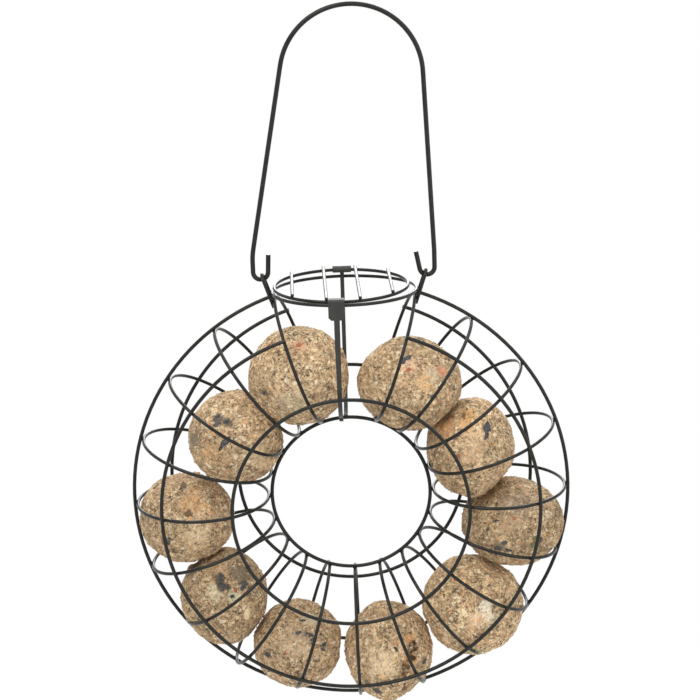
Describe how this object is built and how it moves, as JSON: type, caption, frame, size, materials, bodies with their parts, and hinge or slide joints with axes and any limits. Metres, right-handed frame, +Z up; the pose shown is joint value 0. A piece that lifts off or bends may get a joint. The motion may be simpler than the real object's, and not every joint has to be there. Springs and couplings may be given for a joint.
{
  "type": "suet feeder",
  "caption": "Hanging wire suet feeder: a ring-shaped cage of hoops filled with suet balls, with a rod-barred lid, spring latch and arched bail.",
  "frame": {"origin": "underside of the bail's top, where a hook or branch carries the feeder", "axes": "+Z up, Y along the wheel's axle line with the latch side at -Y, +X to the right seen from the latch side"},
  "size_m": [0.2644, 0.088, 0.4267],
  "materials": {
    "wire_coat": "satin black powder coat",
    "strap_coat": "satin black powder coat on spring sheet",
    "suet": "matt tan fat with seed and grain pieces"
  },
  "bodies": {
    "bail": {"bail": "wire_coat"},
    "cage": {"rim_ring": "wire_coat", "front_outer_ring": "wire_coat", "back_outer_ring": "wire_coat", "front_inner_ring": "wire_coat", "back_inner_ring": "wire_coat", "hub_ring": "wire_coat", "hoop_01": "wire_coat", "hoop_02": "wire_coat", "hoop_03": "wire_coat", "hoop_04": "wire_coat", "hoop_05": "wire_coat", "hoop_06": "wire_coat", "hoop_07": "wire_coat", "hoop_08": "wire_coat", "hoop_09": "wire_coat", "hoop_10": "wire_coat", "hoop_11": "wire_coat", "hoop_12": "wire_coat", "hoop_13": "wire_coat", "hoop_14": "wire_coat", "hoop_15": "wire_coat", "hoop_16": "wire_coat", "hoop_17": "wire_coat", "mouth_hoop_left": "wire_coat", "mouth_hoop_right": "wire_coat", "mouth_ring": "wire_coat", "ear_left": "wire_coat", "ear_right": "wire_coat", "hinge_strap": "strap_coat", "suet_ball_01": "suet", "suet_ball_02": "suet", "suet_ball_03": "suet", "suet_ball_04": "suet", "suet_ball_05": "suet", "suet_ball_06": "suet", "suet_ball_07": "suet", "suet_ball_08": "suet", "suet_ball_09": "suet", "suet_ball_10": "suet"},
    "lid": {"lid_ring": "wire_coat", "lid_rod_1": "wire_coat", "lid_rod_2": "wire_coat", "lid_rod_3": "wire_coat", "lid_rod_4": "wire_coat"},
    "latch": {"latch": "strap_coat"}
  },
  "joints": [
    {"name": "cage_swing", "type": "hinge", "parent": "bail", "child": "cage", "pos_m": [-0.00422, 0, -0.15751], "axis": [0.9995, 0, 0.0314], "range_deg": [-95, 95]},
    {"name": "lid_hinge", "type": "hinge", "parent": "cage", "child": "lid", "pos_m": [-0.00406, 0.03918, -0.16252], "axis": [-0.9995, 0, -0.0314], "range_deg": [0, 110]},
    {"name": "latch_release", "type": "hinge", "parent": "cage", "child": "latch", "pos_m": [-0.0015, 0, -0.24408], "axis": [0.9995, 0, 0.0314], "range_deg": [0, 3.9], "stiffness_Nm_per_rad": 2}
  ]
}
